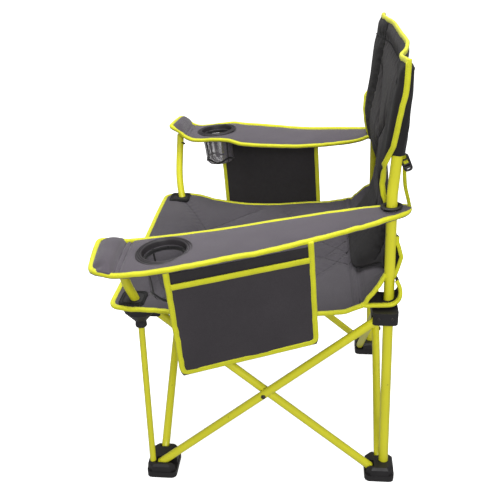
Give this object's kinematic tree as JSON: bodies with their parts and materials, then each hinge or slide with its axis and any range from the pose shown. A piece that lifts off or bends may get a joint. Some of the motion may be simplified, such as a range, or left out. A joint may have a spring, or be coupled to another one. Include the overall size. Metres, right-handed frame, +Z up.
{
  "type": "folding camp chair",
  "caption": "Folding camp chair: crossed tubes on four sides, telescoping front legs, a sling seat, a padded back, and armrests with cup holders and side pockets.",
  "frame": {"origin": "on the floor, under the centre of the bounding box", "axes": "+Z up, the sitter faces -Y, +X is the sitter's left"},
  "size_m": [0.965, 0.625, 0.966],
  "materials": {
    "powder_coat": "satin powder coat",
    "rod_steel": "plain steel",
    "moulded_plastic": "fine moulded texture",
    "rivet_steel": "black finish",
    "cloth": "woven polyester",
    "mesh_cloth": "open mesh",
    "webbing": "woven webbing"
  },
  "bodies": {
    "rear_left_leg": {"rear_left_foot": "moulded_plastic", "rear_left_upright": "powder_coat", "rear_left_upright_cap": "moulded_plastic", "left_pole_sleeve": "cloth", "left_arm_strap": "webbing", "left_arm_buckle": "moulded_plastic", "backrest": "cloth"},
    "left_inner_bar": {"left_side_inner_tube": "powder_coat", "left_side_rivet": "rivet_steel"},
    "left_outer_bar": {"left_side_outer_tube": "powder_coat"},
    "front_left_leg": {"front_left_foot": "moulded_plastic", "front_left_leg_tube": "powder_coat"},
    "front_left_post": {"front_left_hub": "moulded_plastic", "front_left_slide_rod": "rod_steel", "front_left_arm_post": "powder_coat", "front_left_post_cap": "moulded_plastic", "seat_front_left_grommet": "moulded_plastic", "left_armrest": "cloth", "left_pocket_backing": "cloth", "left_pocket_front": "cloth"},
    "left_cup_holder": {"left_cup_ring": "moulded_plastic", "left_cup_bag": "mesh_cloth"},
    "seat_left": {"seat_left_half": "cloth"},
    "left_arm_eyelet": {"left_armrest_eyelet": "moulded_plastic"},
    "rear_left_slide": {"rear_left_slider": "moulded_plastic", "seat_rear_left_grommet": "moulded_plastic"},
    "rear_left_bar": {"rear_left_cross_tube": "powder_coat", "rear_rivet": "rivet_steel"},
    "rear_right_bar": {"rear_right_cross_tube": "powder_coat"},
    "rear_right_leg": {"rear_right_foot": "moulded_plastic", "rear_right_upright": "powder_coat", "rear_right_upright_cap": "moulded_plastic", "right_pole_sleeve": "cloth", "right_arm_strap": "webbing", "right_arm_buckle": "moulded_plastic"},
    "rear_right_slide": {"rear_right_slider": "moulded_plastic", "seat_rear_right_grommet": "moulded_plastic"},
    "right_inner_bar": {"right_side_inner_tube": "powder_coat", "right_side_rivet": "rivet_steel"},
    "right_outer_bar": {"right_side_outer_tube": "powder_coat"},
    "front_right_leg": {"front_right_foot": "moulded_plastic", "front_right_leg_tube": "powder_coat"},
    "front_right_post": {"front_right_hub": "moulded_plastic", "front_right_slide_rod": "rod_steel", "front_right_arm_post": "powder_coat", "front_right_post_cap": "moulded_plastic", "seat_front_right_grommet": "moulded_plastic", "right_armrest": "cloth", "right_pocket_backing": "cloth", "right_pocket_front": "cloth"},
    "right_cup_holder": {"right_cup_ring": "moulded_plastic", "right_cup_bag": "mesh_cloth"},
    "seat_right": {"seat_right_half": "cloth"},
    "right_arm_eyelet": {"right_armrest_eyelet": "moulded_plastic"},
    "front_left_bar": {"front_left_cross_tube": "powder_coat", "front_rivet": "rivet_steel"},
    "front_right_bar": {"front_right_cross_tube": "powder_coat"}
  },
  "joints": [
    {"name": "fold", "type": "hinge", "parent": "rear_left_leg", "child": "left_inner_bar", "pos_m": [0.2815, 0.2525, 0.03], "axis": [-1, 0, 0], "range_deg": [0, 44.6], "deforming": ["backrest", "seat_left_half", "left_armrest", "left_pocket_backing", "left_pocket_front", "left_cup_bag", "left_pole_sleeve", "left_arm_strap", "seat_right_half", "right_armrest", "right_pocket_backing", "right_pocket_front", "right_cup_bag", "right_pole_sleeve", "right_arm_strap"]},
    {"name": "left_scissor", "type": "hinge", "parent": "left_inner_bar", "child": "left_outer_bar", "pos_m": [0.3015, 0.0105, 0.2325], "axis": [1, 0, 0], "range_deg": [0, 89.2]},
    {"name": "front_left_foot_turn", "type": "hinge", "parent": "left_outer_bar", "child": "front_left_leg", "pos_m": [0.3015, -0.2315, 0.03], "axis": [-1, 0, 0], "range_deg": [0, 44.6]},
    {"name": "front_left_hub_turn", "type": "hinge", "parent": "left_inner_bar", "child": "front_left_post", "pos_m": [0.2815, -0.2315, 0.435], "axis": [1, 0, 0], "range_deg": [0, 44.6]},
    {"name": "left_cup_swing", "type": "hinge", "parent": "front_left_post", "child": "left_cup_holder", "pos_m": [0.405, -0.218, 0.659], "axis": [-1, 0, 0], "range_deg": [0, 65.5]},
    {"name": "seat_left_drop", "type": "hinge", "parent": "front_left_post", "child": "seat_left", "pos_m": [0.3, 0.0055, 0.467], "axis": [0, -1, 0], "range_deg": [0, 73.01]},
    {"name": "left_eyelet_slide", "type": "slide", "parent": "rear_left_leg", "child": "left_arm_eyelet", "axis": [0, 0, 1], "range_m": [0, 0.045]},
    {"name": "rear_left_slider_turn", "type": "hinge", "parent": "left_outer_bar", "child": "rear_left_slide", "pos_m": [0.3015, 0.2525, 0.435], "axis": [-1, 0, 0], "range_deg": [0, 44.6]},
    {"name": "rear_left_bar_turn", "type": "hinge", "parent": "rear_left_leg", "child": "rear_left_bar", "pos_m": [0.242, 0.2775, 0.03], "axis": [0, 1, 0], "range_deg": [0, 44.6]},
    {"name": "rear_scissor", "type": "hinge", "parent": "rear_left_bar", "child": "rear_right_bar", "pos_m": [0, 0.2575, 0.2325], "axis": [0, -1, 0], "range_deg": [0, 89.2]},
    {"name": "rear_right_foot_turn", "type": "hinge", "parent": "rear_right_bar", "child": "rear_right_leg", "pos_m": [-0.242, 0.2575, 0.03], "axis": [0, 1, 0], "range_deg": [0, 44.6]},
    {"name": "rear_right_slider_turn", "type": "hinge", "parent": "rear_left_bar", "child": "rear_right_slide", "pos_m": [-0.242, 0.2775, 0.435], "axis": [0, -1, 0], "range_deg": [0, 44.6]},
    {"name": "right_inner_bar_turn", "type": "hinge", "parent": "rear_right_leg", "child": "right_inner_bar", "pos_m": [-0.2815, 0.2525, 0.03], "axis": [-1, 0, 0], "range_deg": [0, 44.6]},
    {"name": "right_scissor", "type": "hinge", "parent": "right_inner_bar", "child": "right_outer_bar", "pos_m": [-0.3015, 0.0105, 0.2325], "axis": [1, 0, 0], "range_deg": [0, 89.2]},
    {"name": "front_right_foot_turn", "type": "hinge", "parent": "right_outer_bar", "child": "front_right_leg", "pos_m": [-0.3015, -0.2315, 0.03], "axis": [-1, 0, 0], "range_deg": [0, 44.6]},
    {"name": "front_right_hub_turn", "type": "hinge", "parent": "right_inner_bar", "child": "front_right_post", "pos_m": [-0.2815, -0.2315, 0.435], "axis": [1, 0, 0], "range_deg": [0, 44.6]},
    {"name": "right_cup_swing", "type": "hinge", "parent": "front_right_post", "child": "right_cup_holder", "pos_m": [-0.405, -0.218, 0.659], "axis": [-1, 0, 0], "range_deg": [0, 65.5]},
    {"name": "seat_right_drop", "type": "hinge", "parent": "front_right_post", "child": "seat_right", "pos_m": [-0.3, 0.0055, 0.467], "axis": [0, 1, 0], "range_deg": [0, 73.01]},
    {"name": "right_eyelet_slide", "type": "slide", "parent": "rear_right_leg", "child": "right_arm_eyelet", "axis": [0, 0, 1], "range_m": [0, 0.045]},
    {"name": "front_left_bar_turn", "type": "hinge", "parent": "front_left_leg", "child": "front_left_bar", "pos_m": [0.242, -0.234, 0.03], "axis": [0, 1, 0], "range_deg": [0, 44.6]},
    {"name": "front_scissor", "type": "hinge", "parent": "front_left_bar", "child": "front_right_bar", "pos_m": [0, -0.254, 0.2325], "axis": [0, -1, 0], "range_deg": [0, 89.2]}
  ],
  "couplings": [
    {"joint": "left_scissor", "follows": "fold", "ratio": 2},
    {"joint": "front_left_foot_turn", "follows": "fold", "ratio": 1},
    {"joint": "front_left_hub_turn", "follows": "fold", "ratio": 1},
    {"joint": "left_cup_swing", "follows": "fold", "ratio": 1.4686},
    {"joint": "seat_left_drop", "follows": "fold", "ratio": 1.637},
    {"joint": "left_eyelet_slide", "follows": "fold", "m_per_rad": 0.05781},
    {"joint": "rear_left_slider_turn", "follows": "fold", "ratio": 1},
    {"joint": "rear_left_bar_turn", "follows": "fold", "ratio": 1},
    {"joint": "rear_scissor", "follows": "fold", "ratio": 2},
    {"joint": "rear_right_foot_turn", "follows": "fold", "ratio": 1},
    {"joint": "rear_right_slider_turn", "follows": "fold", "ratio": 1},
    {"joint": "right_inner_bar_turn", "follows": "fold", "ratio": 1},
    {"joint": "right_scissor", "follows": "fold", "ratio": 2},
    {"joint": "front_right_foot_turn", "follows": "fold", "ratio": 1},
    {"joint": "front_right_hub_turn", "follows": "fold", "ratio": 1},
    {"joint": "right_cup_swing", "follows": "fold", "ratio": 1.4686},
    {"joint": "seat_right_drop", "follows": "fold", "ratio": 1.637},
    {"joint": "right_eyelet_slide", "follows": "fold", "m_per_rad": 0.05781},
    {"joint": "front_left_bar_turn", "follows": "fold", "ratio": 1},
    {"joint": "front_scissor", "follows": "fold", "ratio": 2}
  ]
}
